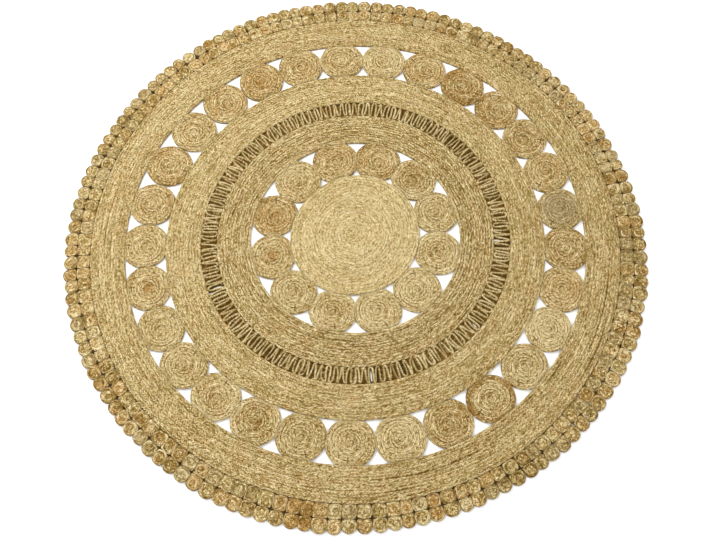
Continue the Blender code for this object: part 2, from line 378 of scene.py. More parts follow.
def sew(first, second, widest=7):
    """Faces between two lines of points, for a surface that faces up when the first line is the outer one.

    A line is (numbers of its points, place along the braid at each point, place across). Where one line
    has more points, each step of the other gets one face with more corners. Short faces repeat their last
    corner.
    """
    steps = min(len(first[0]), len(second[0])) - 1
    corners, along, across = [], [], []
    for line, forward in ((first, True), (second, False)):
        share = (len(line[0]) - 1) // steps
        pick = np.arange(steps)[:, None] * share + np.arange(share + 1)[None, :]
        if not forward:
            pick = pick[:, ::-1]
        corners.append(line[0][pick])
        along.append(line[1][pick])
        across.append(np.full(pick.shape, line[2]))
    corners, along, across = (np.concatenate(part, axis=1) for part in (corners, along, across))
    spare = ((0, 0), (0, widest - corners.shape[1]))
    return tuple(np.pad(part, spare, mode="edge") for part in (corners, along, across))


def pulled(points):
    """Points moved by the pull of hand sewing, which is read off its table by the distance from the middle.

    A point's radius grows by the growth and by cosines of twice and three times its angle, and the point
    then moves the same way as all others at its distance.
    """
    x, y, height = points.T
    radius, angle = np.hypot(x, y), np.arctan2(y, x)
    at, *amounts = zip(*PULL)
    moved, grown, oval, cornered = (np.interp(radius, at, amount) for amount in amounts)
    way, oval_angle, corner_angle = np.radians(PULL_ANGLES)
    longer = grown + oval * np.cos(2 * (angle - oval_angle)) + cornered * np.cos(3 * (angle - corner_angle))
    share = 1 + longer / np.maximum(radius, GAP)
    return np.stack((x * share + moved * np.cos(way), y * share + moved * np.sin(way), height), axis=-1)


def add_object(name, data):
    """A new object of the scene with this data."""
    thing = bpy.data.objects.new(name, data)
    bpy.context.scene.collection.objects.link(thing)
    return thing


def make_piece(name, points, faces, uv, tone, hue, material):
    """A smooth mesh object at the origin from arrays of points, faces and corner places on the braid.

    faces is (faces, corners). A corner that repeats the one before it is dropped, so a strip may narrow
    to a point. tone and hue hold a number for each point.
    """
    keep = faces != np.roll(faces, 1, axis=1)
    real = keep.sum(axis=1) >= 3
    faces, uv, keep = faces[real], uv[real], keep[real]
    sides = keep.sum(axis=1)
    mesh = bpy.data.meshes.new(name)
    mesh.vertices.add(len(points))
    mesh.vertices.foreach_set("co", pulled(points).astype(np.float32).ravel())
    mesh.loops.add(int(sides.sum()))
    mesh.loops.foreach_set("vertex_index", faces[keep].astype(np.int32))
    mesh.polygons.add(len(faces))
    mesh.polygons.foreach_set("loop_start", (np.cumsum(sides) - sides).astype(np.int32))
    mesh.polygons.foreach_set("loop_total", sides.astype(np.int32))
    mesh.update(calc_edges=True)
    mesh.uv_layers.new(name="plait").data.foreach_set("uv", uv[keep].astype(np.float32).ravel())
    for label, values in (("tone", tone), ("hue", hue)):
        mesh.attributes.new(label, "FLOAT", "POINT").data.foreach_set("value", values.astype(np.float32))
    if mesh.validate():
        raise RuntimeError(f"{name} has faces that Blender had to mend")
    mesh.shade_smooth()
    mesh.materials.append(material)
    piece = add_object(name, mesh)
    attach(piece, "root")
    return piece


def braid_back(across):
    """A row's back over its groove, from 0 to 1: the root of 1 less the cube of the place across."""
    return np.sqrt(np.clip(1.0 - np.abs(across) ** 3, 0.0, 1.0))


def crossing(along, across):
    """Dip between strands, from 0 on a strand's middle to 1 between two strands.

    Strands of the two halves of a braid alternate. On each half the dip is a high power of the distance
    from the strand's middle, and on the centre line it is the mean of the two halves.
    """
    def dip(shift):
        return np.abs(2 * ((along + shift) % 1.0) - 1.0) ** 2.6
    near, far = dip(0.0), dip(0.5)
    return np.where(across < 0, near, np.where(across > 0, far, (near + far) / 2))


def bulge(along, shift):
    """How far a strand pushes out of its row, from -1 to 1: a cosine with its top on the strand's middle."""
    return -np.cos(2 * np.pi * (along + shift))


# Flat spiral coils


class CoilPlan:
    """Points and faces of one flat spiral coil of unit size, which any number of real coils share.

    A strip of braid winds outwards. A point's turn is the number of turns from the middle, and its across
    runs from -1 at the strip's inner edge to 1 at its outer one, which is also the inner edge one turn
    later. The inner edge stays at the middle for the first turn, and the outer edge stays at the rim for
    the last, so the coil is closed and round. columns has the number of steps of each turn, which stays
    or doubles from turn to turn.
    """

    def __init__(self, columns, cross, small):
        self.small = small
        self.edge_place = SMALL_EDGE_PLACE if small else EDGE_PLACE
        self.turns = len(columns)
        self.rows = self.turns - 1
        self.count = 0
        self.points, self.parts = [], []
        self.add_line(np.zeros(1), -1.0)
        rim = self.wind(columns, cross)
        self.close(rim, columns[-1])
        faces, self.along, self.over = (np.concatenate(part) for part in zip(*self.parts))
        used, faces = np.unique(faces, return_inverse=True)
        self.faces = faces.reshape(self.along.shape)
        points = np.concatenate(self.points, axis=1)[:, used]
        self.turn, self.across, self.share, self.level, self.flare = points

    def add_line(self, turn, across, share=np.nan, level=np.nan, flare=0.0):
        """New points at the given turns. share, level and flare set the place of points off the strip."""
        self.points.append(np.array(np.broadcast_arrays(turn, across, share, level, flare), float))
        self.count += len(turn)
        return np.arange(self.count - len(turn), self.count)

    def add_ring(self, steps, share, level, flare=0.0):
        """A closed round line of new points."""
        ring = self.add_line(np.arange(steps) / steps, 1.0, share, level, flare)
        return np.append(ring, ring[0])

    def wind(self, columns, cross):
        """Faces of the strip. The place along it is pi times the square of the turn, in widths of braid."""
        edge_counts = list(columns[1:]) + [columns[-1]]
        edges, middles = [], []
        for turn, (steps, edge_steps) in enumerate(zip(columns, edge_counts)):
            edges.append(self.add_line(turn + np.arange(edge_steps) / edge_steps, 1.0))
            middles.append([self.add_line(turn + np.arange(steps) / steps, across) for across in cross[1:-1]])
        edges[0][0] = 0
        for line in middles[0]:
            line[0] = 0
        for turn, steps in enumerate(columns):
            last = turn == self.turns - 1
            rim_start = edges[-1][0]
            inner = np.append(edges[turn - 1], edges[turn][0]) if turn else np.zeros(steps + 1, int)
            outer = np.append(edges[turn], rim_start if last else edges[turn + 1][0])
            between = [
                np.append(line, rim_start if last else middles[turn + 1][place][0])
                for place, line in enumerate(middles[turn])
            ]
            lines = []
            for across, line in zip(cross, [inner, *between, outer]):
                place = turn + np.arange(len(line)) / (len(line) - 1)
                over = self.edge_place if last and across == 1.0 else (across + 1) / 2
                lines.append((line, np.pi * place ** 2, turn + over))
            for near, far in zip(lines, lines[1:]):
                self.parts.append(sew(far, near))
        return outer

    def close(self, rim, steps):
        """Side wall and underside: round lines in from the rim, each row with the braid's own places on it.

        A small coil has a waist under its rim, then spreads to its foot, and its underside is one fan.
        """
        place = 2 * np.pi * (self.rows - 0.5) * np.arange(steps + 1) / steps
        wall, over = rim, self.turns - 1 + self.edge_place
        if self.small:
            waist = self.add_ring(steps, 1.0, WAIST_HEIGHT)
            self.parts.append(sew((waist, place, over + 0.01), (wall, place, over)))
            wall, over = waist, over + 0.01
        foot = self.add_ring(steps, 1.0, 0.0, flare=float(self.small))
        self.parts.append(sew((foot, place, self.turns - 0.01), (wall, place, over)))
        outer, outer_steps = foot, steps
        coarse = steps // UNDER_SHARE
        for row in range(self.rows - 1, 0, -1):
            if self.small:
                break
            inner = self.add_ring(coarse, row / self.rows, 0.0)
            near, far = (2 * np.pi * (row + 0.5) * np.arange(n + 1) / n for n in (coarse, outer_steps))
            self.parts.append(sew((inner, near, float(row)), (outer, far, row + 1.0)))
            outer, outer_steps = inner, coarse
        middle = np.repeat(self.add_line(np.zeros(1), 1.0, share=0.0, level=0.0), outer_steps + 1)
        rows = self.rows if self.small else 1
        spin = rows * np.pi * np.arange(outer_steps + 1) / outer_steps
        self.parts.append(sew((middle, spin, 0.0), (outer, spin, float(rows))))


LIMITS = ("distance", "half_angle", "inner", "outer", "round_size")


def coil_outline(angle, distance, half_angle, inner, outer, round_size, power=OUTLINE_POWER):
    """Radius, in each direction, of a coil that is pressed flat where it meets its neighbours.

    The coil lies at a distance from the rug's middle, and its angles are counted from the line away from
    there. Its limits are its own round size, the ring outside, the ring inside, and the straight seams at
    half_angle to both sides. The radius is a soft least of these: the sum of their high negative powers,
    to the inverse power.
    """
    far = 1e3
    along, aside = distance * np.cos(angle), distance * np.sin(angle)
    to_seam = np.where(distance > 0, distance * np.sin(half_angle), far)
    root = inner ** 2 - aside ** 2
    meets_inner = (root > 0) & (along < 0)
    limits = (
        round_size * np.ones_like(angle),
        np.sqrt(outer ** 2 - aside ** 2) - along,
        np.where(meets_inner, -along - np.sqrt(np.maximum(root, 0.0)), far),
        to_seam / np.maximum(np.sin(angle - half_angle), to_seam / far),
        to_seam / np.maximum(np.sin(-angle - half_angle), to_seam / far),
    )
    return sum((limit / round_size) ** -power for limit in limits) ** (-1 / power) * round_size


def wind_coils(name, plan, coils, braid, look, rng):
    """One mesh of one or more flat coils.

    Each point of the plan is put at an angle of its turn, and at a share of the radius: of a circle near
    the middle of the coil, and of its outline at the rim. Its height is the groove's height plus a
    rounded back across the strip, less the dips between strands. coils holds arrays with one number for
    each coil: distance, turned, half_angle, inner, outer, round_size, lean, hand, start, height, uneven,
    core_size, and the tones and hues of body, rim and core.
    """
    def column(label):
        return coils[label][:, None]
    lobe_depth = 0.0 if plan.small else braid.lobe_depth
    turn, across = plan.turn[None, :], plan.across[None, :]
    distance, half_angle, inner, outer, mean = (column(label) for label in LIMITS)
    turned, hand, lean = column("turned"), column("hand"), column("lean")
    width = mean / plan.rows
    start = rng.uniform(0.0, 1.0, mean.shape)
    along = np.pi * turn ** 2 * width / braid.lobe_length + start
    along_next = np.pi * (turn + 1) ** 2 * width / braid.lobe_length + start

    outer_edge = np.clip(turn, 0, plan.rows) / plan.rows
    inner_edge = np.clip(turn - 1, 0, plan.rows) / plan.rows
    on_strip = np.isnan(plan.share)[None, :]
    share = np.where(on_strip, inner_edge + (outer_edge - inner_edge) * (across + 1) / 2, plan.share[None, :])
    slant = braid.slant * np.abs(across) / np.maximum(share * mean, width)
    angle = (column("start") + 2 * np.pi * turn - slant) * hand
    round_size = mean * (1 - lean * (1 + np.cos(angle)) / 2)
    inward = np.where(lean > 0, np.clip(-1.5 * np.cos(angle), 0.0, 1.0), 1.0)
    flare = plan.flare[None, :]
    if flare.any():
        corner_aside, corner_out = distance * np.sin(half_angle), (outer - inner) / 2
        to_corner = np.arctan2(corner_aside * np.sin(angle), corner_out * np.cos(angle))
        angle = np.where(flare > 0, to_corner, angle)
        aside = np.degrees(turned + round_size * np.sin(angle) / distance)
        for gap in OPEN_GAPS:
            inward = inward * (np.abs(away(aside, gap)) > OPEN_HALF_SPAN)
    # Spread feet carry the dark painted shade into the gaps between coils.
    round_size = round_size * (1 + FOOT_FLARE * flare * inward)
    outline = coil_outline(
        angle, distance, half_angle, inner + GAP / 2, outer - GAP / 2, round_size,
        OUTLINE_POWER * (1 + FLARE_SHARPER * flare)) - GAP / 2
    outline = outline + FOOT_OVERLAP * flare * inward
    pressed = np.clip((1 - outline / round_size) / PRESSED_FULLY, 0.0, 1.0)

    on_edge = on_strip & (across == 1.0)
    on_rim = on_edge & (turn >= plan.rows)
    push = bulge(along, 0.5) - np.where(on_rim, 1.0, bulge(along_next, 0.0))
    push = np.where(on_rim, push * (1 - pressed), push)
    reach = share * mean + np.where(on_edge & (turn > PUSH_START), STRAND_PUSH * push, 0.0)
    if not plan.small:
        sway = rng.uniform(0.0, 2 * np.pi, (len(mean), 4))[:, :, None]
        around = np.arange(2, 6)[None, :, None] * angle[:, None, :] + sway
        sway = np.sin(around + SWAY_LAG * (share * plan.rows)[:, None, :]).sum(axis=1)
        reach = reach + on_strip * TURN_SWAY * sway * share * (1 - share ** 6)
    at_foot = ~on_strip & (share == 1.0)
    reach = reach - FOOT_INSET * (at_foot & (flare == 0)) * (1 - PRESSED_INSET * pressed)
    share = reach / mean

    fullness = np.clip((outer_edge - inner_edge) * plan.rows, 0.0, 1.0)
    groove = braid.groove_height
    rim = RIM_HEIGHT + (groove - RIM_HEIGHT) * pressed
    def edge_height(place):
        return rim + (groove - rim) * np.clip((plan.rows - place) / RIM_FALL, 0.0, 1.0)
    inner_height, outer_height = edge_height(turn - 1), edge_height(turn)
    base = np.where(across < 0, inner_height, outer_height)
    drift = ripple(along * np.ones_like(share), rng, len(mean), *COIL_DRIFT)
    crest = column("height") + BACK_DRIFT * drift
    crest = groove + (crest - groove) * fullness
    height = base + (crest - base) * braid_back(across)
    height = height - lobe_depth * fullness * (1 - across ** 4) * crossing(along, across)
    height = np.where(on_strip, height, plan.level[None, :])

    radius = share * (mean + (outline - mean) * share ** OUTLINE_PULL)
    x, y = distance + radius * np.cos(angle), radius * np.sin(angle)
    cos, sin = np.cos(turned), np.sin(turned)
    points = np.stack((x * cos - y * sin, x * sin + y * cos, height * np.ones_like(x)), axis=-1)

    def shade(label):
        body, rim, core = (column(f"{label}_{part}") for part in PARTS)
        to_rim = np.clip((share - RIM_START) / RIM_BLEND, 0.0, 1.0)
        to_core = np.clip(1.5 - share / column("core_size"), 0.0, 1.0)
        return body + (rim - body) * to_rim + (core - body) * to_core
    # Painted shade: feet and side walls are darker, and in the border also warmer, as shade under rims and in
    # gaps.
    painted_shade_at_foot, shade_hue_at_foot = (SMALL_PAINTED_FOOT_SHADE, SMALL_PAINTED_FOOT_HUE) if plan.small else (PAINTED_FOOT_SHADE, 0.0)
    tone = shade("tone") + column("uneven") * drift - painted_shade_at_foot * at_foot
    hue = shade("hue") - column("uneven") * drift + shade_hue_at_foot * at_foot

    count = len(mean)
    size = len(plan.turn)
    faces = plan.faces[None] + size * np.arange(count)[:, None, None]
    places = plan.along[None] * (width / braid.lobe_length)[:, :, None] + start[:, :, None]
    overs = plan.over[None] + COIL_ROWS_APART * np.arange(count)[:, None, None]
    uv = np.stack(np.broadcast_arrays(places, overs), axis=-1)
    backwards = hand[:, 0] < 0
    faces[backwards] = faces[backwards][:, :, ::-1]
    uv[backwards] = uv[backwards][:, :, ::-1]
    corners = faces.shape[-1]
    return make_piece(
        name, points.reshape(-1, 3), faces.reshape(-1, corners), uv.reshape(-1, corners, 2), tone.ravel(),
        hue.ravel(), material_of(look, braid))


def single_coil(turned, limits, kind, core_size, rng):
    """The arrays of one coil of a kind, with the limits of its outline, wound either way from any angle."""
    tones, hues, uneven = COIL_KINDS[kind]
    coil = dict(zip(LIMITS, limits))
    coil |= {
        "turned": turned, "lean": 0.0, "hand": rng.choice((-1.0, 1.0)),
        "start": rng.uniform(0.0, 2 * math.pi), "height": THICKNESS, "uneven": uneven, "core_size": core_size,
    }
    for part, tone, hue in zip(PARTS, tones, hues):
        coil[f"tone_{part}"], coil[f"hue_{part}"] = tone, hue
    return {label: np.array([number]) for label, number in coil.items()}


def lay_centre(braid, rng):
    """The disc of the middle, in the place of its solid."""
    edge = CENTRE_EDGE - GAP / 2
    coil = single_coil(0.0, (0.0, math.pi / 2, 0.0, 1.0, edge), "centre", 0.1, rng)
    plan = CoilPlan(CENTRE_COLUMNS, CROSS, small=False)
    piece = wind_coils("centre_coil_braid", plan, coil, braid, "pale braid", rng)
    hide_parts("centre_coil")


def lay_medallions(label, kinds, inner, outer, first_seam, waves, roundness, braid, rng):
    """One piece for each medallion of a ring, each in the place of its solid.

    The seams between them, in degrees, are even steps from the first one, pulled about by the waves.
    """
    count = len(kinds)
    plan = CoilPlan(MEDALLION_COLUMNS, CROSS, small=False)
    uneven = np.random.default_rng(count).normal(0.0, MEDALLION_SPREAD, count)
    even = [360 * seam / count for seam in range(count + 1)]
    seams = [first_seam + angle + wave(waves, angle) for angle in even]
    for number, (start, end, kind) in enumerate(zip(seams, seams[1:], kinds), 1):
        middle = (start + end) / 2
        tighter = LOOSE_SHARE * math.cos(math.radians(middle - LOOSE_ANGLE)) - uneven[number - 1]
        distance = (inner + outer) / 2 + MEDALLION_SHIFT
        half_angle = math.radians((end - start) / 2)
        round_size = (outer - inner) / 2 * (roundness - tighter)
        limits = (distance, half_angle, inner, outer, round_size)
        coil = single_coil(math.radians(middle), limits, kind, 0.23, rng)
        node = f"{label}_{number:02d}"
        piece = wind_coils(f"{node}_braid", plan, coil, braid, "medallion braid", rng)
        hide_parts(node)


def rug_edge(angle):
    """Radius of the outer coils' tips at an angle."""
    return RUG_EDGE + wave(EDGE_WAVES, math.degrees(angle))


def border_seam(angle):
    """Radius of the seam between the two rows of coils, which follows the edge half way."""
    return BORDER_SEAM + (rug_edge(angle) - RUG_EDGE) / 2


def lay_border(braid, rng):
    """Two rows of small coils, one piece each. Their seams are uneven steps round the rug."""
    plan = CoilPlan(SMALL_COLUMNS, SMALL_CROSS, small=True)
    count = BORDER_COILS
    seams = 2 * math.pi / count * (np.arange(count) + rng.uniform(-SEAM_SPREAD, SEAM_SPREAD, count))
    seam_shift = rng.uniform(-SEAM_SHIFT, SEAM_SHIFT, count)
    seams = np.append(seams, seams[0] + 2 * math.pi)
    angles = (seams[1:] + seams[:-1]) / 2
    half_angles = np.diff(seams) / 2
    for seam in LOOSE_SEAMS:
        half_angles[np.abs(np.degrees(angles) - seam) < LOOSE_HALF_SPAN] *= LOOSE_NARROWER
    stained = np.abs(away(np.degrees(angles), STAINED_ANGLE)) < STAINED_HALF_SPAN
    seam_radius = np.array([border_seam(angle) for angle in angles]) + seam_shift
    edge_radius = np.array([rug_edge(angle) for angle in angles]) + seam_shift
    rows = (
        ("border_row_inner", np.full(count, OUTER_BAND_EDGE), seam_radius, 0.0),
        ("border_row_outer", seam_radius, edge_radius, 1 - 1 / BORDER_ROUND),
    )
    for node, inner, outer, lean in rows:
        radius = (inner + outer) / 2
        size = (outer - inner) / 2 * BORDER_ROUND * rng.uniform(*BORDER_SIZES, count)
        coils = dict(zip(LIMITS, (radius, half_angles, inner, outer, size)))
        coils |= {
            "turned": angles, "lean": np.full(count, lean), "hand": rng.choice((-1.0, 1.0), count),
            "start": rng.integers(0, 16, count) * math.pi / 8 + braid.slant / size,
            "height": THICKNESS + rng.uniform(*BORDER_HEIGHTS, count),
            "uneven": np.full(count, 0.05), "core_size": np.full(count, 0.12),
        }
        tone = np.clip(rng.normal(*BORDER_TONE, count), *BORDER_TONE_LIMITS)
        hue = np.clip(rng.normal(*BORDER_HUE, count), *BORDER_HUE_LIMITS)
        tone[stained], hue[stained] = STAINED_LOOK
        core = -np.abs(rng.normal(0.0, BORDER_CORE, count))
        for part, shift in zip(PARTS, (0.0, 0.04, core)):
            coils[f"tone_{part}"], coils[f"hue_{part}"] = tone + shift, hue
        piece = wind_coils(f"{node}_braid", plan, coils, braid, "border braid", rng)
        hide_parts(node)


# Bands of rows


def apart(angle, parted, rows, rng):
    """How far the rows on both sides of each groove have come apart, round the ring.

    A slow ripple opens a groove where it is high. Each entry of parted adds a rounded stretch with a
    ragged depth.
    """
    gaps = np.clip(ring_ripple(angle, rng, rows + 1, 24) - 1.6, 0.0, 1.0)
    ragged = 0.75 + 0.35 * ring_ripple(angle, rng, rows + 1, 90)
    for groove, middle, half_span, amount in parted:
        rounded = 1.6 * (1 - (away(np.degrees(angle), middle) / half_span) ** 2)
        gaps[groove] += amount * ragged[groove] * np.clip(rounded, 0.0, 1.0)
    gaps[0] = gaps[-1] = 0.0
    return gaps


def lay_band(node, inner, outer, columns, look, braid, tones, hue, parted, rng):
    """A ring of braid rows, sewn side by side, as one closed surface.

    A point's angle is its column's share of a turn, slanted back towards each groove. Its radius goes
    from one groove to the next by its place across the row, and the grooves wander a little and give way
    to the strands on both sides. Its height is the groove's plus a rounded back, less the dips between
    strands. tones go from the inner row to the outer one. Each entry of parted is a place where two rows
    have come apart: the groove's number, the middle and the half span in degrees, and how far.
    """
    rows = BAND_ROWS
    steps = np.arange(columns)
    angle = 2 * np.pi * steps / columns
    first_column = rng.integers(0, columns, rows)
    place = ((steps[None, :] - first_column[:, None]) % columns) / LOBE_STEPS
    gaps = apart(angle, parted, rows, rng)
    wander = ROW_WANDER * ring_ripple(angle, rng, rows + 1, 24)
    wander[0] = wander[-1] = 0.0
    spread = (outer - inner) / rows * np.arange(rows + 1)[:, None]
    straight = np.ones((1, columns))
    push = np.concatenate([straight, bulge(place, 0.5)]) - np.concatenate([bulge(place, 0.0), straight])
    edges = inner + GAP / 2 * np.where(np.arange(rows + 1) == rows, -1, 1)[:, None] + spread + wander
    edges = edges + STRAND_PUSH * push
    grooves = braid.groove_height + GROOVE_DRIFT * ring_ripple(angle, rng, rows + 1, 60) - PARTED_DEPTH * gaps
    grooves[0] = grooves[-1] = (RIM_HEIGHT + braid.groove_height) / 2
    drift = ring_ripple(angle, rng, rows, 45)

    # Top: lines across each row, and the last groove
    cells = len(CROSS) - 1
    across = np.array(CROSS[:-1])
    low, high = edges[:-1, None, :], edges[1:, None, :]
    radius = low + (high - low) * (across[:, None] + 1) / 2
    near, far = grooves[:-1, None, :], grooves[1:, None, :]
    side = across[None, :, None]
    base = np.where(side < 0, near, far)
    height = base + (THICKNESS + BACK_DRIFT * drift[:, None, :] - base) * braid_back(side)
    height = height - braid.lobe_depth * (1 - side ** 4) * crossing(place[:, None, :], side)
    radius = np.concatenate([radius.reshape(-1, columns), edges[-1:]])
    height = np.concatenate([height.reshape(-1, columns), grooves[-1:]])
    lean = np.append(np.tile(np.abs(across), rows), 1.0)[:, None]
    slanted = angle[None, :] - braid.slant * lean / ((inner + outer) / 2)

    # Colour, with painted shade in a parted groove and beside it
    tones = np.interp(np.linspace(0, 1, rows), np.linspace(0, 1, len(tones)), tones)[:, None]
    colour = tones + 0.04 * drift + 0.03 * ring_ripple(angle, rng, rows, 6)
    # Painted light: paler towards one angle, on the lamp's side.
    colour = np.repeat(colour + PAINTED_LIGHT_SIDE * np.cos(angle - PAINTED_LIGHT_ANGLE), cells, axis=0)
    colour = np.concatenate([colour, colour[-1:]])
    parted_groove_shade = np.zeros_like(colour)
    parted_groove_shade[::cells] = gaps
    # Painted shade in a parted groove and on the rows beside it.
    colour = colour - 0.8 * parted_groove_shade - 0.35 * (np.roll(parted_groove_shade, 1, axis=0) + np.roll(parted_groove_shade, -1, axis=0))

    # Walls and underside: radius, number of columns
    coarse = columns // UNDER_SHARE
    rings = [(inner + GAP / 2 + FOOT_INSET, columns), (outer - GAP / 2 - FOOT_INSET, columns)]
    rings += [(inner + spread[row, 0], coarse) for row in range(1, rows)]
    points = [spots(radius, slanted, height).reshape(-1, 3)]
    numbers, total = [], radius.size
    for ring_radius, count in rings:
        points.append(spots(ring_radius, slanted[0][::columns // count], 0.0))
        numbers.append(np.append(np.arange(total, total + count), total))
        total += count
    points = np.concatenate(points)
    feet = np.full(total - radius.size, tones.mean())
    # Painted shade on the feet of the band's two walls.
    feet[:2 * columns] -= PAINTED_FOOT_SHADE
    tone = np.concatenate([colour.ravel(), feet])

    # Faces: the top's lines, then the walls, then the underside
    step = 1 / LOBE_STEPS
    blank = np.zeros(columns + 1)
    overs = [row + (part + 1) / 2 for row in range(rows) for part in CROSS[:-1]] + [rows]
    overs[0], overs[-1] = 1 - EDGE_PLACE, rows - 1 + EDGE_PLACE
    parts = []
    for line in range(rows * cells):
        near, far = (np.append(np.arange(n, n + columns), n) for n in (line * columns, (line + 1) * columns))
        faces, _, over = sew((far, blank, overs[line + 1]), (near, blank, overs[line]))
        along = place[line // cells][:, None] + step * np.array([0, 1, 1, 0, 0, 0, 0])[None, :]
        parts.append((faces, along, over))
    fine_place, coarse_place = np.arange(columns + 1) * step, np.arange(coarse + 1) * step * UNDER_SHARE
    foot_inner, foot_outer, *under = numbers
    first_line = np.append(steps, 0)
    last_line = first_line + radius.size - columns
    parts.append(sew((first_line, fine_place, overs[0]), (foot_inner, fine_place, 0.01)))
    parts.append(sew((foot_outer, fine_place, rows - 0.01), (last_line, fine_place, overs[-1])))
    lines = [(foot_inner, fine_place)] + [(ring, coarse_place) for ring in under] + [(foot_outer, fine_place)]
    for row, (near, far) in enumerate(zip(lines, lines[1:])):
        parts.append(sew((*near, float(row)), (*far, row + 1.0)))
    faces, along, over = (np.concatenate(part) for part in zip(*parts))
    piece = make_piece(
        f"{node}_braid", points, faces, np.stack([along, over], axis=-1), tone, np.full(len(points), hue),
        material_of(look, braid))
    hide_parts(node)


# The openwork's cord


def lay_zigzag(braid, rng, per_loop=22):
    """The openwork: an upright pear section carried along a closed zigzag line.

    Along one loop the line's radius is a cosine, steepened by its own cube, and its angle runs ahead and
    back by a sine of twice the loop, which opens the turns and draws the runs together. On the inner side
    of a bend the section goes no further than the bend's own radius, and on the outer side its foot
    spreads, up to the bands.
    """
    count = ZIGZAG_LOOPS * per_loop
    loop = np.arange(count) / per_loop
    angle = 2 * np.pi * loop / ZIGZAG_LOOPS
    side, height, shade = (np.array(part)[:, None] for part in zip(*ZIGZAG_SECTION))
    swing = -np.cos(2 * np.pi * loop)
    swing = swing * (1 + ZIGZAG_STEEPER - ZIGZAG_STEEPER * swing ** 2)
    uneven = ring_ripple(angle, rng, 5, 250, count=24)
    middle = (INNER_BAND_EDGE + ZIGZAG_EDGE) / 2
    reach = (ZIGZAG_EDGE - INNER_BAND_EDGE) / 2 - ZIGZAG_INSET
    radius = middle + reach * swing * (1 - 0.05 * np.clip(np.abs(uneven[0]), 0.0, 1.5))
    swayed = loop + ZIGZAG_OPENING * np.sin(4 * np.pi * loop) + ZIGZAG_UNEVEN * uneven[1]
    turned = 2 * np.pi * swayed / ZIGZAG_LOOPS
    line = radius * np.exp(1j * turned)
    run = np.roll(line, -1) - np.roll(line, 1)
    heading = run / np.abs(run)
    bend = np.angle(np.roll(heading, -1) * np.conj(np.roll(heading, 1))) / np.abs(run)
    walked = np.append(0.0, np.cumsum(np.abs(np.roll(line, -1) - line)))
    along = walked * round(walked[-1] / braid.lobe_length) / walked[-1]

    low = height < 0.003
    opened = np.clip(ring_ripple(angle, rng, 1, 60)[0] - 0.6 - 0.5 * np.sin(angle), 0.0, 1.0)
    width = 1 + 0.07 * bulge(along[:-1], 0.0) + 0.08 * uneven[2] + BEND_FOOT * low * np.abs(swing) ** 4
    side = side * width * (1 - OPENED_FOOT * opened * low)
    room = BEND_ROOM / np.maximum(np.abs(bend), 1.0)
    side = np.clip(side, np.where(bend > 0, -room, -1.0), np.where(bend < 0, room, 1.0))
    points = line - 1j * side * heading
    under = np.where(low, FOOT_OVERLAP, BEND_OVERLAP)
    points = points / np.abs(points) * np.clip(np.abs(points), INNER_BAND_EDGE - under, ZIGZAG_EDGE + under)
    height = height * (1 + 0.03 * uneven[3])
    points = np.stack([points.real, points.imag, height], axis=-1)
    around = len(height)
    lines = np.arange(count * around).reshape(around, count)
    lines = np.concatenate([lines, lines[:, :1]], axis=1)
    slanted = [along + abs(place / around - 0.5) for place in range(around + 1)]
    parts = [
        sew((lines[(place + 1) % around], slanted[place + 1], (place + 1) / around),
            (lines[place], slanted[place], place / around))
        for place in range(around)
    ]
    faces, places, over = (np.concatenate(part) for part in zip(*parts))
    # Painted shade of the section, stronger towards +Y and uneven along the cord; low parts are warmer so it
    # reads dark brown.
    shade = shade * (1.22 + 0.12 * np.sin(angle) + 0.3 * uneven[4])
    tone = ZIGZAG_TONE + 0.10 * uneven[0] - shade
    hue = np.where(low, 0.2, -0.2) * np.ones_like(tone)
    piece = make_piece(
        "zigzag_cord_braid", points.reshape(-1, 3), faces, np.stack([places, over], axis=-1), tone.ravel(),
        hue.ravel(), material_of("openwork cord", braid))
    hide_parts("zigzag_cord")


# Materials


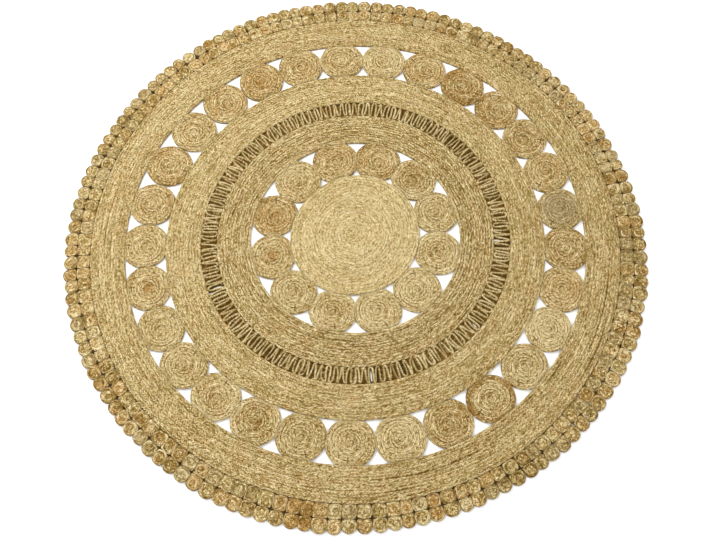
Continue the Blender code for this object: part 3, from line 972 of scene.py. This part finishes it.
class Nodes:
    """Short names for the shader nodes of one material."""

    def __init__(self, name):
        self.material = bpy.data.materials.new(name)
        self.material.use_nodes = True
        self.tree = self.material.node_tree
        self.shader = self.tree.nodes["Principled BSDF"]

    def new(self, kind, inputs=(), **settings):
        """A node with its settings, and its inputs as numbers or sockets by name or place."""
        node = self.tree.nodes.new(kind)
        for label, value in settings.items():
            setattr(node, label, value)
        self.put(inputs, node)
        return node

    def put(self, inputs, node=None):
        """Set inputs of a node, or else of the shader."""
        sockets = (node or self.shader).inputs
        for label, value in dict(inputs).items():
            if isinstance(value, bpy.types.NodeSocket):
                self.tree.links.new(value, sockets[label])
            else:
                sockets[label].default_value = value

    def math(self, operation, *values, clamp=False):
        node = self.new("ShaderNodeMath", dict(enumerate(values)), operation=operation, use_clamp=clamp)
        return node.outputs[0]

    def times(self, first, second, clamp=False):
        return self.math("MULTIPLY", first, second, clamp=clamp)

    def line(self, value, slope, start):
        """The value times the slope, plus the start."""
        return self.math("MULTIPLY_ADD", value, slope, start)

    def rest(self, value):
        """1 less the value."""
        return self.math("SUBTRACT", 1.0, value)

    def rise(self, value, low, high):
        """0 below low and 1 above high, smooth between."""
        inputs = {"Value": value, "From Min": low, "From Max": high}
        return self.new("ShaderNodeMapRange", inputs, interpolation_type="SMOOTHSTEP").outputs[0]

    def vector(self, x, y, z):
        return self.new("ShaderNodeCombineXYZ", {"X": x, "Y": y, "Z": z}).outputs[0]

    def parts(self, vector):
        return self.new("ShaderNodeSeparateXYZ", {0: vector}).outputs

    def noise(self, vector, scale, detail, roughness=0.55):
        inputs = {"Vector": vector, "Scale": scale, "Detail": detail, "Roughness": roughness}
        return self.new("ShaderNodeTexNoise", inputs, noise_dimensions="3D").outputs["Fac"]

    def chance(self, vector):
        """Outputs of a random value and colour for each place."""
        return self.new("ShaderNodeTexWhiteNoise", {"Vector": vector}, noise_dimensions="3D").outputs

    def number(self, label):
        """A number that the mesh has at each point."""
        return self.new("ShaderNodeAttribute", attribute_name=label).outputs["Fac"]

    def blend(self, factor, first, second):
        """A colour between the first one, at 0, and the second one, at 1, which is three numbers."""
        node = self.new("ShaderNodeMix", data_type="RGBA", clamp_factor=True)
        before, after = [place for place, socket in enumerate(node.inputs) if socket.type == "RGBA"]
        self.put({0: factor, before: first, after: opaque(second)}, node)
        return next(socket for socket in node.outputs if socket.type == "RGBA")

    def ramp(self, factor, *colours):
        """A colour read off an even scale of colours."""
        node = self.new("ShaderNodeValToRGB", {"Fac": factor})
        elements = node.color_ramp.elements
        for _ in colours[2:]:
            elements.new(0.5)
        for number, shade in enumerate(colours):
            elements[number].position = number / (len(colours) - 1)
            elements[number].color = opaque(shade)
        return node.outputs["Color"]


def opaque(shade):
    return (*shade, 1.0)


# How strongly each braid shows: the painted shade of its grooves, the painted shade of the dips between
# strands, each strand's own tone, the painted shade where a groove is broken and how often those places
# come, the painted shade of the line down the middle, fibres, long lanes, stains and the painted shade of
# side notches.
LOOK_PARTS = ("groove", "dip", "own", "broken", "breaks", "middle", "fibre", "lane", "stain", "notch")
BRAID_LOOKS = {
    "pale braid": (0.30, 1.0, 0.22, 0.20, 0.15, 0.6, 1.8, 0.3, 0.9, 1.0),
    "medallion braid": (0.65, 1.0, 0.34, 0.30, 0.26, 1.0, 2.2, 0.4, 1.3, 1.0),
    "band braid": (0.42, 1.0, 0.28, 0.46, 0.6, 0.9, 2.0, 0.4, 1.6, 1.0),
    "lined band braid": (0.85, 1.0, 0.38, 0.1, 0.18, 1.0, 2.3, 0.4, 1.6, 1.0),
    "openwork cord": (0.3, 0.35, 0.36, 0.2, 0.26, 0.6, 1.4, 1.0, 1.6, 0.6),
    "border braid": (0.62, 0.9, 0.45, 0.12, 0.26, 0.6, 1.4, 1.0, 1.6, 0.6),
}


def jute_material(name, braid):
    """Braided jute, by its looks in the table.

    The plait map's first number counts the strands along a row, and its second the rows. From them come
    the strand that a point is on and its distance from the dips round it. Each strand has its own tone
    and hue, and fibres run along it. The tone drifts along each row, each half of a row and over the rug.
    Dips, the line down the middle and the side notches are painted shade, blended towards the shadow colour,
    and so is the groove between two rows, darkest where it is broken. The bump has strands and fibres.
    """
    look = dict(zip(LOOK_PARTS, BRAID_LOOKS[name]))
    n = Nodes(name)
    along, over, _ = n.parts(n.new("ShaderNodeUVMap", uv_map="plait").outputs[0])
    row = n.math("FLOOR", over)
    across = n.math("FRACT", over)
    from_middle = n.math("ABSOLUTE", n.line(across, 2.0, -1.0))
    weave = n.math("COSINE", n.times(along, 2 * math.pi))
    from_weave = n.math("ADD", n.line(weave, 0.1, across), -0.5)
    side = n.math("GREATER_THAN", from_weave, 0.0)
    strand_place = n.line(side, 0.5, along)
    from_strand = n.math("ABSOLUTE", n.line(n.math("FRACT", strand_place), 2.0, -1.0))
    lane = n.line(side, 0.37, row)

    own = n.chance(n.vector(n.math("FLOOR", strand_place), lane, 0.5))
    own_hue = n.parts(own["Color"])[1]
    fibres = n.noise(
        n.vector(n.times(strand_place, 2.4), n.times(from_middle, 1.6), n.times(lane, 9.7)), 1.0, 1.0, 0.5)
    lane_tone = n.noise(n.vector(n.times(along, 0.10), n.times(lane, 23.1), 3.5), 1.0, 1.0)
    drift = n.noise(n.vector(n.times(along, 0.07), n.times(row, 5.3), 0.0), 1.0, 2.0)
    where = n.new("ShaderNodeTexCoord").outputs["Object"]
    patch = n.noise(where, 9.0, 2.0)
    stain = n.noise(where, 26.0, 2.0)
    groove = n.math("FLOOR", n.math("ADD", over, 0.5))
    breaks = n.noise(n.vector(n.times(along, look["breaks"]), n.times(groove, 3.7), 1.5), 1.0, 2.0)

    tone = n.number("tone")
    contrast = n.line(tone, -1.2, 1.92)
    sources = (
        (own["Value"], look["own"]), (fibres, look["fibre"]), (lane_tone, look["lane"]), (drift, 0.34),
        (patch, 0.11))
    for source, share in sources:
        tone = n.line(n.times(n.math("SUBTRACT", source, 0.5), share), contrast, tone)
    shades = (braid.dark_jute, braid.brown_jute, braid.golden_jute, braid.straw_jute, braid.pale_jute)
    colour = n.ramp(tone, *shades)
    hue = n.number("hue")
    warm = n.math("MAXIMUM", hue, 0.0)
    for source, share in ((drift, 0.4 * look["stain"]), (stain, 0.8 * look["stain"]), (own_hue, 0.5)):
        warm = n.math("ADD", warm, n.times(n.math("SUBTRACT", source, 0.5), share))
    colour = n.blend(n.times(warm, 0.48, clamp=True), colour, braid.orange_jute)
    colour = n.blend(n.times(warm, -0.55, clamp=True), colour, braid.green_jute)
    colour = n.blend(n.times(hue, -0.75, clamp=True), colour, braid.grey_jute)

    seam = n.vector(n.math("FLOOR", n.math("ADD", strand_place, 0.5)), lane, 7.5)
    tick = n.chance(seam)["Value"]
    # Painted shade: grooves, their broken places, dips between strands, side notches and the middle line
    # darken the colour.
    broken = n.rise(breaks, 0.54, 0.66)
    row_dip = n.rise(n.line(broken, 0.26, from_middle), 0.74, 0.96)
    groove_dark = n.line(broken, look["broken"], look["groove"])
    middle_dip = n.rest(n.rise(n.math("ABSOLUTE", from_weave), 0.0, 0.14))
    middle_dark = n.line(n.rise(n.rest(breaks), 0.35, 0.60), look["middle"], 0.1)
    strand_dip = n.rise(n.line(tick, 0.22, from_strand), 0.60, 1.02)
    strand_dip = n.times(strand_dip, n.line(n.rise(tick, 0.30, 0.95), 0.95, 0.18))
    notch = n.times(n.times(strand_dip, n.rise(from_middle, 0.45, 0.90)), look["notch"])
    light = n.times(n.rest(n.times(row_dip, groove_dark)), n.line(strand_dip, -look["dip"], 1.0))
    for dark in (notch, n.times(middle_dip, middle_dark)):
        light = n.times(light, n.rest(dark))

    relief = n.line(fibres, 0.8, n.times(n.rest(n.math("POWER", from_strand, 3.0)), 0.6))
    bump = n.new("ShaderNodeBump", {"Height": relief, "Distance": 0.0009, "Strength": 0.8})
    n.put({
        "Base Color": n.blend(n.rest(light), colour, braid.shadow_jute),
        "Normal": bump.outputs[0],
        "Roughness": 0.85,
        "Specular IOR Level": 0.07,
        "Sheen Weight": 0.05,
        "Sheen Tint": (1.0, 0.85, 0.5, 1.0),
        "Sheen Roughness": 0.5,
    })
    return n.material


def material_of(name, braid):
    """The material of that name, made the first time that a piece asks for it."""
    return bpy.data.materials.get(name) or jute_material(name, braid)


# Operators


class RugOperator:
    """What every operator of the rug has: undo, and random numbers of its own for each group of pieces."""

    bl_options = {"REGISTER", "UNDO"}

    def start(self, context, group):
        """The braid's settings and the random numbers of a group."""
        braid = context.scene.rug_braid
        return braid, np.random.default_rng(braid.seed + group)


class RUG_OT_centre_coil(RugOperator, bpy.types.Operator):
    """Wind the long pale braid of the middle into a flat disc"""

    bl_idname = "jute_rug.centre_coil"
    bl_label = "Centre Coil"

    def execute(self, context):
        lay_centre(*self.start(context, 0))
        return {"FINISHED"}


class RUG_OT_medallions(RugOperator, bpy.types.Operator):
    """Wind the two rings of medallions"""

    bl_idname = "jute_rug.medallions"
    bl_label = "Medallions"

    def execute(self, context):
        braid, rng = self.start(context, 1)
        lay_medallions(
            "inner_medallion", INNER_KINDS, CENTRE_EDGE, INNER_MEDALLION_EDGE, INNER_SEAM_START,
            INNER_SEAM_WAVES, INNER_ROUND, braid, rng)
        lay_medallions(
            "outer_medallion", OUTER_KINDS, MIDDLE_BAND_EDGE, OUTER_MEDALLION_EDGE, OUTER_SEAM_START,
            OUTER_SEAM_WAVES, OUTER_ROUND, braid, rng)
        return {"FINISHED"}


class RUG_OT_bands(RugOperator, bpy.types.Operator):
    """Lay the three bands of braid rows"""

    bl_idname = "jute_rug.bands"
    bl_label = "Bands"

    def execute(self, context):
        braid, rng = self.start(context, 2)
        lay_band(
            "inner_band", INNER_MEDALLION_EDGE, INNER_BAND_EDGE, 924, "lined band braid", braid,
            (0.62, 0.55, 0.57, 0.60), 0.05, INNER_PARTED, rng)
        lay_band(
            "middle_band", ZIGZAG_EDGE, MIDDLE_BAND_EDGE, 1320, "band braid", braid,
            (0.60, 0.62, 0.62, 0.57), 0.02, MIDDLE_PARTED, rng)
        lay_band(
            "outer_band", OUTER_MEDALLION_EDGE, OUTER_BAND_EDGE, 1800, "band braid", braid,
            (0.56, 0.61, 0.61, 0.57), 0.06, OUTER_PARTED, rng)
        return {"FINISHED"}


class RUG_OT_zigzag_cord(RugOperator, bpy.types.Operator):
    """Lay the thin braid of the openwork back and forth on its edge"""

    bl_idname = "jute_rug.zigzag_cord"
    bl_label = "Zigzag Cord"

    def execute(self, context):
        lay_zigzag(*self.start(context, 3))
        return {"FINISHED"}


class RUG_OT_border_coils(RugOperator, bpy.types.Operator):
    """Wind the two rows of small coils of the border"""

    bl_idname = "jute_rug.border_coils"
    bl_label = "Border Coils"

    def execute(self, context):
        lay_border(*self.start(context, 4))
        return {"FINISHED"}


class RUG_OT_stage(RugOperator, bpy.types.Operator):
    """Add the floor, the soft light and the camera"""

    bl_idname = "jute_rug.stage"
    bl_label = "Stage"

    def execute(self, context):
        stage = context.scene.rug_stage
        scene = context.scene
        half = stage.floor_size / 2
        mesh = bpy.data.meshes.new("floor")
        corners = ((-half, -half), (half, -half), (half, half), (-half, half))
        mesh.from_pydata([(*corner, FLOOR_HEIGHT) for corner in corners], [], [(0, 1, 2, 3)])
        floor_nodes = Nodes("pale floor")
        floor_nodes.put({"Base Color": opaque(stage.floor_colour), "Roughness": 0.9})
        mesh.materials.append(floor_nodes.material)
        floor = add_object("floor", mesh)

        world = bpy.data.worlds.new("soft light")
        world.use_nodes = True
        background = world.node_tree.nodes["Background"]
        background.inputs["Color"].default_value = (1.0, 1.0, 1.0, 1.0)
        background.inputs["Strength"].default_value = stage.sky_strength
        scene.world = world
        lamp = bpy.data.lights.new("soft lamp", "AREA")
        lamp.energy = stage.lamp_power
        lamp.size = stage.lamp_side
        holder = add_object("soft lamp", lamp)
        holder.location = stage.lamp_place
        holder.rotation_euler = (-holder.location).to_track_quat("-Z", "Y").to_euler()

        camera = bpy.data.cameras.new("camera")
        camera.sensor_width = 36.0
        camera.lens = stage.camera_lens
        viewer = add_object("camera", camera)
        tilt = Euler((math.pi / 2 - stage.camera_pitch, 0.0, 0.0)).to_matrix()
        roll = Euler((0.0, 0.0, stage.camera_roll)).to_matrix()
        viewer.rotation_euler = (tilt @ roll).to_euler()
        viewer.location = stage.camera_place
        scene.camera = viewer
        scene.view_settings.view_transform = "Standard"
        return {"FINISHED"}


class RUG_PT_panel(bpy.types.Panel):
    """Lists the rug's pieces and settings"""

    bl_idname = "RUG_PT_panel"
    bl_label = "Jute Rug"
    bl_space_type = "VIEW_3D"
    bl_region_type = "UI"
    bl_category = "Jute Rug"

    def draw(self, context):
        layout = self.layout
        for operator in OPERATORS:
            layout.operator(operator.bl_idname)
        for settings in (context.scene.rug_braid, context.scene.rug_stage):
            box = layout.box()
            for label in settings.__annotations__:
                box.prop(settings, label)


OPERATORS = (
    RUG_OT_centre_coil,
    RUG_OT_medallions,
    RUG_OT_zigzag_cord,
    RUG_OT_bands,
    RUG_OT_border_coils,
    RUG_OT_stage,
)
CLASSES = (RugBraidSettings, RugStageSettings, *OPERATORS, RUG_PT_panel)


def register():
    for cls in CLASSES:
        bpy.utils.register_class(cls)
    bpy.types.Scene.rug_braid = PointerProperty(type=RugBraidSettings)
    bpy.types.Scene.rug_stage = PointerProperty(type=RugStageSettings)


def unregister():
    del bpy.types.Scene.rug_stage
    del bpy.types.Scene.rug_braid
    for cls in reversed(CLASSES):
        bpy.utils.unregister_class(cls)


def main():
    register()
    bpy.ops.jute_rug.centre_coil()
    bpy.ops.jute_rug.medallions()
    bpy.ops.jute_rug.zigzag_cord()
    bpy.ops.jute_rug.bands()
    bpy.ops.jute_rug.border_coils()
    bpy.ops.jute_rug.stage()


if __name__ == "__main__":
    main()
